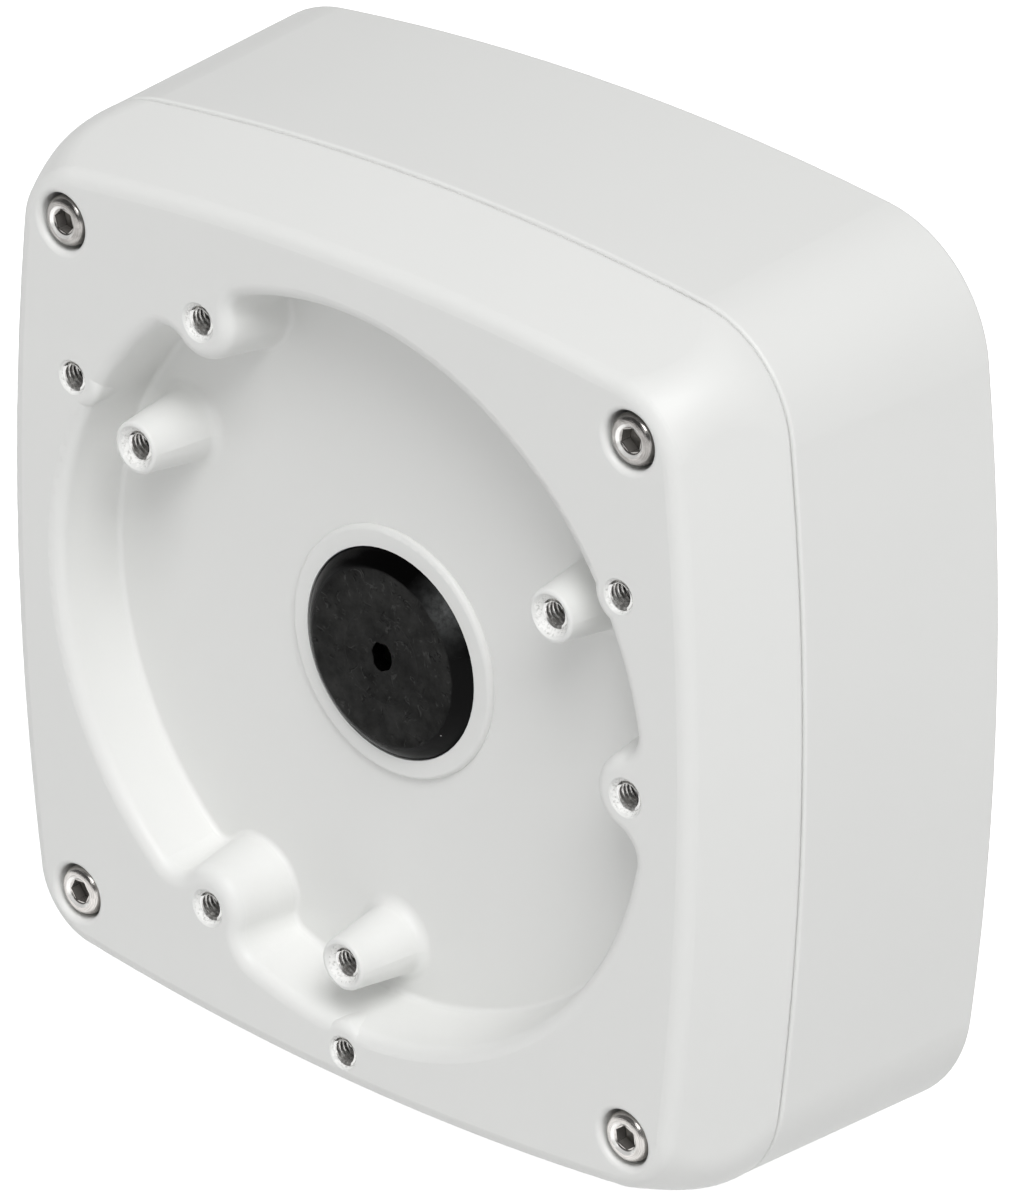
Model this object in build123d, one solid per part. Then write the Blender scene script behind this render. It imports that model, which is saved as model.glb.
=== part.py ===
from build123d import *
import os
from math import cos, hypot, radians, sin, sqrt, tan

# Camera junction box: a die-cast box that goes on a wall, with a security camera screwed to its cover.
# Frame: +Z up, +X to the right of someone who faces the box, -Y out of its front, millimetres.
# The origin is the middle of the back face, which lies on the wall at Y = 0.

# Cable recess in the cover, with three lugs that stand into it; the box is sized round it
recess_radius = 51.2
recess_depth = 10.3
recess_draft = 8.0
recess_rim_radius = 2.0
recess_floor_radius = 0.8
recess_wall = 2.8
floor_thickness = 2.55
lug_radius = 5.2
lug_blend_radius = 4.0

# Outline of both castings at the line where they part
side_land = 13.6
side_bow_radius = 390.0
corner_radius = 17.3
rim_width = 5.2

# Housing
entry_to_wall = 2.9
entry_to_rim = 4.55
housing_draft = 3.6
housing_inner_draft = 1.0
back_thickness = 3.0
back_edge_radius = 0.6

# Cover
parting_gap = 0.15
parting_edge_radius = 0.5
cover_depth = 15.9
cover_draft = 19.1
corner_crown = 2.4
cover_edge_radius = 2.4
cover_inner_draft = 10.0
face_thickness = 3.0

# Three patterns of tapped holes for camera bases, each on its own circle
lug_inset = 2.2
lug_angles = (0, 120, 240)
outer_hole_land = 3.8
outer_angles = (30, 150, 270)
outer_boss_wall = 2.35
outer_boss_edge_radius = 1.3
standoff_inset = 9.3
standoff_angles = (30, 150, 270)
standoff_tip_wall = 1.55
standoff_foot_spread = 1.4
standoff_edge_radius = 0.5
standoff_foot_blend = 1.6
tapped_radius = 2.05
tapped_depth = 9.0
lug_countersink = 0.7
outer_countersink = 0.4
outer_mouth_to_edge = 0.1
standoff_countersink = 1.0
blind_wall = 2.0

# Collar and rubber plug of a cable hole, alike in the cover and in the back wall
cable_hole_radius = 13.3
seat_width = 1.4
seat_depth = 1.5
collar_width = 2.8
collar_height = 0.85
collar_edge_radius = 0.7
plug_clearance = 0.1
plug_shoulder = 2.2
plug_rise = 1.65
plug_face_edge = 0.4
plug_tail_length = 2.3
plug_tail_taper = 1.2
plug_wall = 3.3
plug_membrane = 2.2
pilot_hole_radius = 1.45

# Dish in the wall face round the back wall's cable hole
dish_margin = 1.5
dish_wall = 3.3
tail_to_wall = 0.9

# Cover screws: M4 socket heads in counterbores at the corners
screw_inset = 15.8
screw_boss_wall = 4.2
pocket_corner_radius = 3.0
screw_radius = 2.0
screw_length = 20.0
screw_end_chamfer = 0.5
head_overhang = 1.5
head_height = 4.0
head_edge_radius = 0.65
head_below_face = 0.2
hex_across_flats = 3.0
hex_depth = 2.2
hex_countersink = 0.35
head_clearance = 0.5
counterbore_mouth_radius = 0.8
shank_clearance = 0.25
thread_clearance = 0.05
screw_hole_spare = 4.0

# Sealing washer under each head and retaining ring behind the cover
seal_thickness = 0.8
seal_clearance = 0.3
retainer_section = 1.4
retainer_room = 0.2

# Gasket in the housing's rim
groove_inset = 1.5
groove_width = 2.2
groove_depth = 2.0
gasket_clearance = 0.1

# Conduit entry in the underside and its threaded plug
entry_radius = 12.5
entry_pad_wall = 3.1
entry_pad_length = 8.7
spot_face_inset = 3.1
spot_face_clearance = 0.4
flange_overlap = 1.4
entry_plug_flange = 2.0
entry_plug_seal = 1.0
entry_plug_length = 8.0
entry_plug_wall = 2.0
entry_plug_hex = 10.0
entry_plug_hex_depth = 5.0
entry_plug_edge = 0.5

# Holes for the wall screws
wall_hole_inset = 14.0
wall_hole_radius = 2.75
wall_pad_width = 3.25
wall_pad_height = 1.5

# Earth terminal on the back wall, inside
earth_inset = 20.8
earth_boss_wall = 2.5
earth_boss_height = 6.0
earth_washer_step = 0.2
earth_washer_thickness = 0.8
earth_head_step = 0.9
earth_head_height = 2.4
earth_head_edge = 1.0
earth_screw_length = 6.0
earth_slot_width = 1.0
earth_slot_depth = 1.2

# Sizes across the box that follow from those above
outline_half_width = recess_radius + side_land
lug_circle_radius = recess_radius - lug_inset
outer_circle_radius = recess_radius + outer_hole_land
outer_mouth_reach = outer_circle_radius + tapped_radius + outer_countersink
standoff_circle_radius = recess_radius - standoff_inset
outer_boss_radius = tapped_radius + outer_boss_wall
standoff_tip_radius = tapped_radius + standoff_tip_wall
standoff_foot_radius = standoff_tip_radius + standoff_foot_spread
screw_half_pitch = outline_half_width - screw_inset
screw_boss_radius = screw_radius + screw_boss_wall
head_radius = screw_radius + head_overhang
counterbore_radius = head_radius + head_clearance
screw_clearance_radius = screw_radius + shank_clearance
seal_radius = counterbore_radius - seal_clearance
retainer_pocket_radius = screw_clearance_radius + retainer_section + thread_clearance
retainer_pocket_depth = retainer_section + retainer_room
seat_radius = cable_hole_radius + seat_width
collar_radius = seat_radius + collar_width
plug_hollow_radius = cable_hole_radius - plug_wall
dish_radius = seat_radius + dish_margin
dish_depth = plug_tail_length + tail_to_wall
flange_radius = entry_radius + flange_overlap
spot_face_radius = flange_radius + spot_face_clearance
spot_face_level = outline_half_width - spot_face_inset
entry_pad_radius = entry_radius + entry_pad_wall
entry_pad_face = spot_face_level - entry_pad_length
wall_hole_half_pitch = screw_half_pitch - wall_hole_inset
wall_pad_radius = wall_hole_radius + wall_pad_width
earth_x = earth_inset - outline_half_width
earth_boss_radius = screw_radius + earth_boss_wall
earth_washer_radius = earth_boss_radius - earth_washer_step
earth_head_radius = earth_boss_radius - earth_head_step

# Levels along Y that follow from the depths above
entry_from_wall = flange_radius + entry_to_wall
housing_depth = entry_from_wall + flange_radius + entry_to_rim
rim_y = -housing_depth
cover_back_y = rim_y - parting_gap
front_y = cover_back_y - cover_depth
recess_floor_y = front_y + recess_depth
counterbore_depth = head_below_face + head_height + seal_thickness
wall_hole_places = [(x, z) for x in (-wall_hole_half_pitch, wall_hole_half_pitch)
                    for z in (-wall_hole_half_pitch, wall_hole_half_pitch)]
screw_places = [(x, z) for x in (-screw_half_pitch, screw_half_pitch)
                for z in (screw_half_pitch, -screw_half_pitch)]

# Solids that hang below their plane, and solids that stand on it
HANGING = (Align.CENTER, Align.CENTER, Align.MAX)
STANDING = (Align.CENTER, Align.CENTER, Align.MIN)


def across(y):
    """The plane across the box at that Y, as seen from the front: local x is +X, local y is +Z."""
    return Plane(origin=(0, y, 0), x_dir=(1, 0, 0), z_dir=(0, -1, 0))


def on_circle(radius, angles):
    """Places on a circle round the middle of the box."""
    return [(radius * cos(radians(a)), radius * sin(radians(a))) for a in angles]


def bulged_square(grow, sharpen=0):
    """The outline at the parting line moved outwards by grow: bowed sides that run into round corners.
    Sharpen takes that much off the corners' radius and leaves the sides where they are."""
    side_centre = outline_half_width - side_bow_radius
    reach = side_bow_radius + grow
    bend_radius = corner_radius + grow - sharpen
    arm = reach - bend_radius
    corner = (side_centre + sqrt(2 * arm**2 - side_centre**2)) / 2
    tangent_x = side_centre + reach * (corner - side_centre) / arm
    tangent_z = reach * corner / arm
    corner_mid = corner + bend_radius * cos(radians(45))
    side = ThreePointArc((tangent_x, -tangent_z), (outline_half_width + grow, 0), (tangent_x, tangent_z))
    bend = ThreePointArc((tangent_x, tangent_z), (corner_mid, corner_mid), (tangent_z, tangent_x))
    return make_face([edge.rotate(Axis.Z, 90 * turn) for turn in range(4) for edge in (side, bend)])


def pocket_profile():
    """The inside of both castings at the parting line: the outline less the rim and the screw bosses."""
    profile = bulged_square(-rim_width)
    block = outline_half_width - screw_half_pitch + screw_boss_radius
    middle = screw_half_pitch - screw_boss_radius + block / 2
    for x_side in (-1, 1):
        for z_side in (-1, 1):
            boss = RectangleRounded(block, block, screw_boss_radius)
            profile -= Pos(x_side * middle, z_side * middle) * boss
    sharp = [v for v in profile.vertices() if max(abs(v.X), abs(v.Y)) > screw_half_pitch + 1]
    return fillet(sharp, pocket_corner_radius)


def recess_profile():
    """The cable recess at the front face: a circle whose wall runs round three lugs in smooth bends."""
    outer = recess_radius - lug_blend_radius
    reach = lug_radius + lug_blend_radius
    blend_x = (outer**2 - reach**2 + lug_circle_radius**2) / (2 * lug_circle_radius)
    blend_z = sqrt(outer**2 - blend_x**2)
    blend_centre = Vector(blend_x, blend_z)
    lug_centre = Vector(lug_circle_radius, 0)
    on_wall = blend_centre * (recess_radius / outer)
    on_lug = lug_centre + (blend_centre - lug_centre) * (lug_radius / reach)
    half_way = ((on_wall - blend_centre) + (on_lug - blend_centre)).normalized() * lug_blend_radius
    bend = ThreePointArc(on_wall, blend_centre + half_way, on_lug)
    nose = ThreePointArc(on_lug, lug_centre - Vector(lug_radius, 0), Vector(on_lug.X, -on_lug.Y))
    next_wall = Vector(on_wall.X, -on_wall.Y).rotate(Axis.Z, 120)
    half_turn = Vector(recess_radius, 0).rotate(Axis.Z, 60)
    wall = ThreePointArc(on_wall, half_turn, next_wall)
    edges = [bend, bend.mirror(Plane.XZ), nose, wall]
    return make_face([edge.rotate(Axis.Z, angle) for angle in lug_angles for edge in edges])


def tapped_hole(depth, countersink):
    """A blind tapped hole with a countersunk mouth, hanging below its plane."""
    mouth = Cone(tapped_radius, tapped_radius + countersink, countersink, align=HANGING)
    return Cylinder(tapped_radius, depth, align=HANGING) + mouth


def counterbored_hole(depth):
    """A screw's hole from the front face to the back of the cover, with a soft round mouth."""
    mouth = counterbore_mouth_radius
    with BuildSketch(Plane.XZ) as section:
        with BuildLine():
            Polyline((counterbore_radius, -mouth), (counterbore_radius, -counterbore_depth),
                     (screw_clearance_radius, -counterbore_depth), (screw_clearance_radius, -depth),
                     (0, -depth), (0, 1), (counterbore_radius + mouth, 1), (counterbore_radius + mouth, 0))
            RadiusArc((counterbore_radius + mouth, 0), (counterbore_radius, -mouth), -mouth)
        make_face()
    return revolve(section.sketch, Axis.Z)


def standoff():
    """A tapered post on the recess floor, as high as the recess is deep, with a blended foot."""
    spread = standoff_foot_radius + 2 * standoff_foot_blend
    buried = floor_thickness / 2
    outline = Polyline((0, -buried), (spread, -buried), (spread, 0), (standoff_foot_radius, 0),
                       (standoff_tip_radius, recess_depth), (0, recess_depth), close=True)
    section = make_face(outline)
    foot = [v for v in section.vertices() if abs(v.X - standoff_foot_radius) < 0.01]
    section = fillet(foot, standoff_foot_blend)
    tip = [v for v in section.vertices() if v.X > 1 and v.Y > recess_depth - 0.01]
    section = fillet(tip, standoff_edge_radius)
    return revolve(Plane.XZ * section, Axis.Z)


def collar(thickness):
    """The raised ring round a cable hole, standing on its plane, with its seat for the rubber plug."""
    ring = Cylinder(collar_radius, thickness, align=STANDING)
    ring = fillet(ring.edges().group_by(Axis.Z)[-1], collar_edge_radius)
    seat = Pos(0, 0, thickness) * Cylinder(seat_radius, seat_depth, align=HANGING)
    return ring - seat - Cylinder(cable_hole_radius, thickness, align=STANDING)


def rubber_plug(lip):
    """A rubber plug clipped over a lip: plane 0 is the lip's front, the dome is above it."""
    head = seat_radius - plug_clearance
    neck = cable_hole_radius - plug_clearance
    top = seat_depth + plug_rise
    bottom = -lip - plug_tail_length
    outline = Polyline((0, bottom), (neck, bottom), (head, -lip - plug_tail_length + plug_tail_taper),
                       (head, -lip), (neck, -lip), (neck, 0), (head, 0), (head, seat_depth),
                       (head - plug_shoulder, top), (0, top), close=True)
    section = make_face(outline)
    rounded = [v for v in section.vertices() if v.X > 1 and v.Y > top - 0.01]
    section = fillet(rounded, plug_face_edge)
    plug = revolve(Plane.XZ * section, Axis.Z)
    hollow = Pos(0, 0, bottom) * Cylinder(plug_hollow_radius, top - bottom - plug_membrane, align=STANDING)
    pilot = Pos(0, 0, top) * Cylinder(pilot_hole_radius, 2 * plug_membrane, align=HANGING)
    return plug - hollow - pilot


def cover_blank():
    """The cover's outside: drawn in towards the front, crowned at its corners and soft at its edges."""
    half = cover_depth / 2
    lean = tan(radians(cover_draft))
    sharpen = corner_crown / (sqrt(2) - 1)
    blank = loft([across(cover_back_y) * bulged_square(0),
                  across(cover_back_y - half) * bulged_square(-half * lean, sharpen),
                  across(front_y) * bulged_square(-cover_depth * lean)])
    # The round edge is cover_edge_radius, or less where the draft leaves the outer holes too little flat
    flat = outline_half_width - cover_depth * lean - outer_mouth_reach - outer_mouth_to_edge
    edge_radius = min(cover_edge_radius, flat / tan(radians(90 - cover_draft) / 2))
    blank = fillet(blank.faces().sort_by(Axis.Y)[0].edges(), edge_radius)
    return fillet(blank.faces().sort_by(Axis.Y)[-1].edges(), parting_edge_radius)


def front_cover():
    """The cover casting: an outer skirt, a tub for the cables, screw bosses and nine tapped holes."""
    blank = cover_blank()
    tub_depth = recess_depth + floor_thickness
    tub_top = recess_radius + recess_wall
    tub_bottom = tub_top - tub_depth * tan(radians(recess_draft))
    tub = across(front_y) * Cone(tub_bottom, tub_top, tub_depth, align=HANGING)
    boss_depth = tapped_depth + blind_wall
    outer_boss = Cylinder(outer_boss_radius, boss_depth, align=HANGING)
    outer_boss = fillet(outer_boss.edges().group_by(Axis.Z)[-1], outer_boss_edge_radius)
    outer_places = on_circle(outer_circle_radius, outer_angles)
    outer_bosses = [across(front_y) * Pos(x, z) * outer_boss for x, z in outer_places]

    pocket_depth = cover_depth - face_thickness
    pocket = extrude(across(cover_back_y) * pocket_profile(), pocket_depth, taper=cover_inner_draft)
    cover = blank - (pocket - tub)

    recess = extrude(across(front_y) * recess_profile(), recess_depth, dir=(0, 1, 0), taper=recess_draft)
    recess = fillet(recess.faces().sort_by(Axis.Y)[-1].edges(), recess_floor_radius)
    cover -= recess
    rim = [e for e in cover.edges().group_by(Axis.Y)[0]
           if hypot(e.center().X, e.center().Z) < recess_radius + 1]
    cover = fillet(rim, recess_rim_radius)

    for boss in outer_bosses:
        cover += boss & blank
    for x, z in on_circle(standoff_circle_radius, standoff_angles):
        cover += across(recess_floor_y) * Pos(x, z) * standoff()
    thickness = floor_thickness + collar_height
    cover -= across(recess_floor_y + floor_thickness) * Cylinder(seat_radius, thickness, align=STANDING)
    cover += across(recess_floor_y + floor_thickness) * collar(thickness)

    for x, z in outer_places:
        cover -= across(front_y) * Pos(x, z) * tapped_hole(tapped_depth, outer_countersink)
    for x, z in on_circle(lug_circle_radius, lug_angles):
        cover -= across(front_y) * Pos(x, z) * tapped_hole(tapped_depth, lug_countersink)
    for x, z in on_circle(standoff_circle_radius, standoff_angles):
        cover -= across(front_y) * Pos(x, z) * tapped_hole(tapped_depth, standoff_countersink)
    for x, z in screw_places:
        cover -= across(front_y) * Pos(x, z) * counterbored_hole(cover_depth)
        ring_pocket = Cylinder(retainer_pocket_radius, retainer_pocket_depth, align=STANDING)
        cover -= across(cover_back_y) * Pos(x, z) * ring_pocket
    return cover


def rear_housing():
    """The housing casting: drafted walls, a back wall, four screw posts and a conduit entry below."""
    flare = housing_depth * tan(radians(housing_draft))
    blank = extrude(across(0) * bulged_square(flare), housing_depth, taper=housing_draft)
    blank = fillet(blank.faces().sort_by(Axis.Y)[-1].edges(), back_edge_radius)
    blank = fillet(blank.faces().sort_by(Axis.Y)[0].edges(), parting_edge_radius)
    cavity_depth = housing_depth - back_thickness
    cavity = extrude(across(rim_y) * pocket_profile(), cavity_depth, dir=(0, 1, 0), taper=housing_inner_draft)
    housing = blank - cavity

    groove = bulged_square(-groove_inset) - bulged_square(-groove_inset - groove_width)
    housing -= extrude(across(rim_y) * groove, groove_depth, dir=(0, 1, 0))
    post_hole_depth = screw_length - (cover_depth - counterbore_depth) + seal_thickness + screw_hole_spare
    for x, z in screw_places:
        housing += across(rim_y) * Pos(x, z) * Cylinder(screw_boss_radius, parting_gap, align=STANDING)
        post_hole = Cylinder(screw_radius + thread_clearance, post_hole_depth, align=HANGING)
        housing -= across(cover_back_y) * Pos(x, z) * post_hole

    for x, z in wall_hole_places:
        pad = Cylinder(wall_pad_radius, wall_pad_height, align=STANDING)
        housing += across(-back_thickness) * Pos(x, z) * pad
        housing -= across(0) * Pos(x, z) * Cylinder(wall_hole_radius, housing_depth / 2, align=STANDING)
    boss_height = back_thickness + earth_boss_height
    housing += across(0) * Pos(earth_x, 0) * Cylinder(earth_boss_radius, boss_height, align=STANDING)
    earth_hole = Cylinder(screw_radius + thread_clearance, earth_boss_height + 1, align=HANGING)
    housing -= across(-boss_height) * Pos(earth_x, 0) * earth_hole
    housing = add_rear_cable_hole(housing)
    return add_conduit_entry(housing)


def add_rear_cable_hole(housing):
    """A dish in the wall face, so that the rubber plug's tail stays clear of the wall, and a collar over it."""
    lip_front = dish_depth + rear_collar_thickness()
    housing += across(0) * Cylinder(dish_radius + dish_wall, dish_depth, align=STANDING)
    housing -= across(0) * Cylinder(dish_radius, dish_depth, align=STANDING)
    housing -= across(-dish_depth) * Cylinder(seat_radius, lip_front, align=STANDING)
    flange = Cylinder(dish_radius + dish_wall, lip_front - dish_depth, align=STANDING)
    flange -= Cylinder(collar_radius - collar_edge_radius, lip_front, align=STANDING)
    return housing + across(-dish_depth) * (collar(rear_collar_thickness()) + flange)


def rear_collar_thickness():
    """The same collar as the cover's, so that the same rubber plug fits."""
    return floor_thickness + collar_height


def add_conduit_entry(housing):
    """A threaded entry in the underside: a pad inside, a spot face outside, and the hole through both."""
    below = Plane(origin=(0, -entry_from_wall, 0), x_dir=(1, 0, 0), z_dir=(0, 0, -1))
    pad_length = spot_face_level - entry_pad_face
    housing += below * Pos(0, 0, entry_pad_face) * Cylinder(entry_pad_radius, pad_length, align=STANDING)
    outside = 2 * (outline_half_width - spot_face_level) + housing_depth * tan(radians(housing_draft))
    housing -= below * Pos(0, 0, spot_face_level) * Cylinder(spot_face_radius, outside, align=STANDING)
    return housing - below * Pos(0, 0, entry_pad_face) * Cylinder(entry_radius, pad_length, align=STANDING)


def cover_gasket():
    """Rubber ring that fills the groove and stands up to the cover."""
    outer = groove_inset + gasket_clearance
    inner = groove_inset + groove_width - gasket_clearance
    ring = bulged_square(-outer) - bulged_square(-inner)
    return extrude(across(rim_y + groove_depth) * ring, groove_depth + parting_gap)


def cover_screw():
    """M4 socket head cap screw: plane 0 is under its head, and the shank hangs below."""
    head = Cylinder(head_radius, head_height, align=STANDING)
    head = fillet(head.edges().group_by(Axis.Z)[-1], head_edge_radius)
    shank = Cylinder(screw_radius, screw_length, align=HANGING)
    shank = chamfer(shank.edges().group_by(Axis.Z)[0], screw_end_chamfer)
    corner = hex_across_flats / (2 * cos(radians(30)))
    socket = extrude(RegularPolygon(corner, 6), -hex_depth)
    mouth = Cone(corner, corner + hex_countersink, hex_countersink, align=HANGING)
    return head + shank - Pos(0, 0, head_height) * (socket + mouth)


def flat_ring(inner, outer, thickness):
    """A washer that stands on its plane."""
    return Cylinder(outer, thickness, align=STANDING) - Cylinder(inner, thickness, align=STANDING)


def screw_retainer():
    """Rubber ring on a shank, in the pocket behind the cover, hanging below its plane."""
    middle = screw_radius + thread_clearance + retainer_section / 2
    return Pos(0, 0, -retainer_section / 2) * Torus(middle, retainer_section / 2)


def conduit_plug():
    """Threaded plug with a flange: plane 0 is under its flange, and the body hangs into the entry."""
    flange = Cylinder(flange_radius, entry_plug_flange, align=STANDING)
    flange = fillet(flange.edges().group_by(Axis.Z)[-1], entry_plug_edge)
    body_radius = entry_radius - thread_clearance
    body = Cylinder(body_radius, entry_plug_length, align=HANGING)
    socket_wall = Cylinder(body_radius - entry_plug_wall, entry_plug_length, align=HANGING)
    floor = entry_plug_hex_depth - entry_plug_flange + entry_plug_wall
    hollow = socket_wall - Cylinder(body_radius, floor, align=HANGING)
    corner = entry_plug_hex / (2 * cos(radians(30)))
    socket = Pos(0, 0, entry_plug_flange) * extrude(RegularPolygon(corner, 6), -entry_plug_hex_depth)
    return flange + body - hollow - socket


def earth_screw():
    """M4 pan head screw with a slot: plane 0 is under its head."""
    head = Cylinder(earth_head_radius, earth_head_height, align=STANDING)
    head = fillet(head.edges().group_by(Axis.Z)[-1], earth_head_edge)
    slot = Box(3 * earth_head_radius, earth_slot_width, earth_slot_depth, align=HANGING)
    shank = Cylinder(screw_radius, earth_screw_length, align=HANGING)
    return head + shank - Pos(0, 0, earth_head_height) * slot


def fasteners():
    """Screw, seal and retaining ring of each corner, in their places."""
    under_head = front_y + head_below_face + head_height
    pieces = {}
    for number, (x, z) in enumerate(screw_places, start=1):
        pieces[f"cover_screw_{number}"] = across(under_head) * Pos(x, z) * cover_screw()
        seal = flat_ring(screw_radius + thread_clearance, seal_radius, seal_thickness)
        pieces[f"screw_seal_{number}"] = across(under_head + seal_thickness) * Pos(x, z) * seal
        ring_top = cover_back_y - retainer_pocket_depth + (retainer_pocket_depth - retainer_section) / 2
        pieces[f"screw_retainer_{number}"] = across(ring_top) * Pos(x, z) * screw_retainer()
    return pieces


def entry_pieces():
    """The conduit entry's plug and the flat seal under its flange."""
    below = Plane(origin=(0, -entry_from_wall, 0), x_dir=(1, 0, 0), z_dir=(0, 0, -1))
    seal = flat_ring(entry_radius, flange_radius, entry_plug_seal)
    return {
        "conduit_plug": below * Pos(0, 0, spot_face_level + entry_plug_seal) * conduit_plug(),
        "plug_seal": below * Pos(0, 0, spot_face_level) * seal,
    }


def earth_pieces():
    """The earth terminal's screw and washer on their boss."""
    boss_top = -back_thickness - earth_boss_height
    washer = flat_ring(screw_radius + thread_clearance, earth_washer_radius, earth_washer_thickness)
    return {
        "earth_washer": across(boss_top) * Pos(earth_x, 0) * washer,
        "earth_screw": across(boss_top - earth_washer_thickness) * Pos(earth_x, 0) * earth_screw(),
    }


def all_pieces():
    """Every separate piece of the box by name."""
    lip = floor_thickness + collar_height - seat_depth
    cover_lip_front = recess_floor_y + floor_thickness - lip
    pieces = {
        "rear_housing": rear_housing(),
        "front_cover": front_cover(),
        "cover_gasket": cover_gasket(),
        "cable_grommet": across(cover_lip_front) * rubber_plug(lip),
        "rear_grommet": across(-dish_depth - lip) * rubber_plug(lip),
    }
    return pieces | fasteners() | entry_pieces() | earth_pieces()


os.makedirs("parts", exist_ok=True)
for node, piece in all_pieces().items():
    export_step(piece, f"parts/{node}.step")
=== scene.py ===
# %% [markdown]
# A die-cast camera junction box, dressed for its picture. The castings, screws and rubber plugs
# already exist as exact solids. This lesson adds what a machinist, a paint line and a few years of
# handling add to them: cut threads, bare metal round the holes, a powder coat with a fine peel,
# turned marks on the screw heads and scuffs on the rubber.

# %% Load the solids as a fixed frame
import math
import random
import bpy
from mathutils import Matrix, Vector


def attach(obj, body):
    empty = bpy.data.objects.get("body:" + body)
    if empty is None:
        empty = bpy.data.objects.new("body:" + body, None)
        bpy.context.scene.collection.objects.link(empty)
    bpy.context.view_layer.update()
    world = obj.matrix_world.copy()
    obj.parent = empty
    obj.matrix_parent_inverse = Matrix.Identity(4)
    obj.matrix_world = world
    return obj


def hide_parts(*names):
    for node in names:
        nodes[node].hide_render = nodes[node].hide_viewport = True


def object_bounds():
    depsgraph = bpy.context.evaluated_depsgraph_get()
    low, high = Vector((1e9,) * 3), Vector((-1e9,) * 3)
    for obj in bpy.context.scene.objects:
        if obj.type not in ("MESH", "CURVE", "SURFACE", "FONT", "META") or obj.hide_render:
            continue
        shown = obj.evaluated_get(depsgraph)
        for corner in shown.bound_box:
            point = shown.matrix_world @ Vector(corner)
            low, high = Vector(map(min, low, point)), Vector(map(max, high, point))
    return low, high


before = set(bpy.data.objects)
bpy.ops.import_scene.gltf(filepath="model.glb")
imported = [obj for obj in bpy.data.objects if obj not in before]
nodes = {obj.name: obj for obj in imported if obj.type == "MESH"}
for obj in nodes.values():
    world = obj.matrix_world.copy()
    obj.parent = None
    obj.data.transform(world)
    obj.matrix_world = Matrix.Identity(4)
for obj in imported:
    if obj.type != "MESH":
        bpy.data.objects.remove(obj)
cad_low, cad_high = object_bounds()
MM = 0.001
size_mm = (cad_high - cad_low) / MM
print("box of the solids in mm:", [round(value, 1) for value in size_mm])

# %% [markdown]
# The camera comes first, because every later choice is judged through it. A product picture like
# this one is taken with a long lens from about a metre away, a little above the box and to its
# right, so that parallel edges stay almost parallel. A camera is easiest to reason about as a point
# that it looks at, two angles and a distance, so those are the named values here.

# %% Camera
photo_width = 1013
photo_height = 1200
azimuth = math.radians(42.427)
elevation = math.radians(26.347)
roll = math.radians(0.061)
distance = 1.12837
aim = Vector((-0.00717, -0.01133, -0.00711))
focal_pixels = 8546.7
optical_centre = (508.8, 609.0)
sensor_width = 36.0
nearest_seen, farthest_seen = 0.05, 20.0


def place_camera():
    """A long lens that looks at the aim from the two angles, with the photograph's small shift."""
    data = bpy.data.cameras.new("camera")
    data.sensor_width = sensor_width
    data.lens = focal_pixels * sensor_width / photo_height
    data.shift_x = (photo_width / 2 - optical_centre[0]) / photo_height
    data.shift_y = (optical_centre[1] - photo_height / 2) / photo_height
    data.clip_start = nearest_seen
    data.clip_end = farthest_seen
    camera = bpy.data.objects.new("camera", data)
    bpy.context.scene.collection.objects.link(camera)
    back = Vector((math.sin(azimuth) * math.cos(elevation),
                   -math.cos(azimuth) * math.cos(elevation),
                   math.sin(elevation)))
    turn = (-back).to_track_quat("-Z", "Y").to_matrix().to_4x4()
    camera.matrix_world = Matrix.Translation(aim + back * distance) @ turn @ Matrix.Rotation(roll, 4, "Z")
    bpy.context.scene.camera = camera
    return camera


camera = place_camera()
print("camera at", [round(value, 3) for value in camera.matrix_world.translation])
print("lens", round(camera.data.lens, 1))

# %% [markdown]
# Every material here is a small tree of shader nodes. By hand one would drag the nodes in and link
# them; in code four short helpers do the same, so that a material reads as what is mixed with what.

# %% Helpers for node trees


def feed(tree, socket, value):
    """Links a socket to another one, or sets it to a number or a colour."""
    if isinstance(value, bpy.types.NodeSocket):
        tree.links.new(value, socket)
    else:
        socket.default_value = value


def add(tree, kind, inputs=(), **settings):
    """A new shader node with its settings, and its inputs fed by name or by number."""
    node = tree.nodes.new(kind)
    for name, value in settings.items():
        setattr(node, name, value)
    for name, value in dict(inputs).items():
        feed(tree, node.inputs[name], value)
    return node


def calc(tree, operation, *values, clamp=False):
    """One step of arithmetic on sockets or numbers."""
    node = add(tree, "ShaderNodeMath", dict(enumerate(values)), operation=operation, use_clamp=clamp)
    return node.outputs[0]


def new_material(name):
    """An empty material and its one shader."""
    material = bpy.data.materials.new(name)
    material.use_nodes = True
    return material, material.node_tree, material.node_tree.nodes["Principled BSDF"]


print("helpers:", [helper.__name__ for helper in (feed, add, calc, new_material)])

# %% [markdown]
# The floor is a plain pale sheet under the box. It is lit like everything else, so it keeps the
# soft shadow, and a little extra light that only the camera sees lifts it to white. What the
# polished screws mirror of it glows a little too.

# %% Floor
floor_size = 6.0
floor_tone = 0.7
floor_roughness = 0.9
floor_glow = 0.7
floor_white = 0.9


def deselect_all():
    """Operators act on all that is selected, so nothing is left selected by an earlier step."""
    if bpy.context.object and bpy.context.object.mode != "OBJECT":
        bpy.ops.object.mode_set(mode="OBJECT")
    bpy.ops.object.select_all(action="DESELECT")


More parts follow.
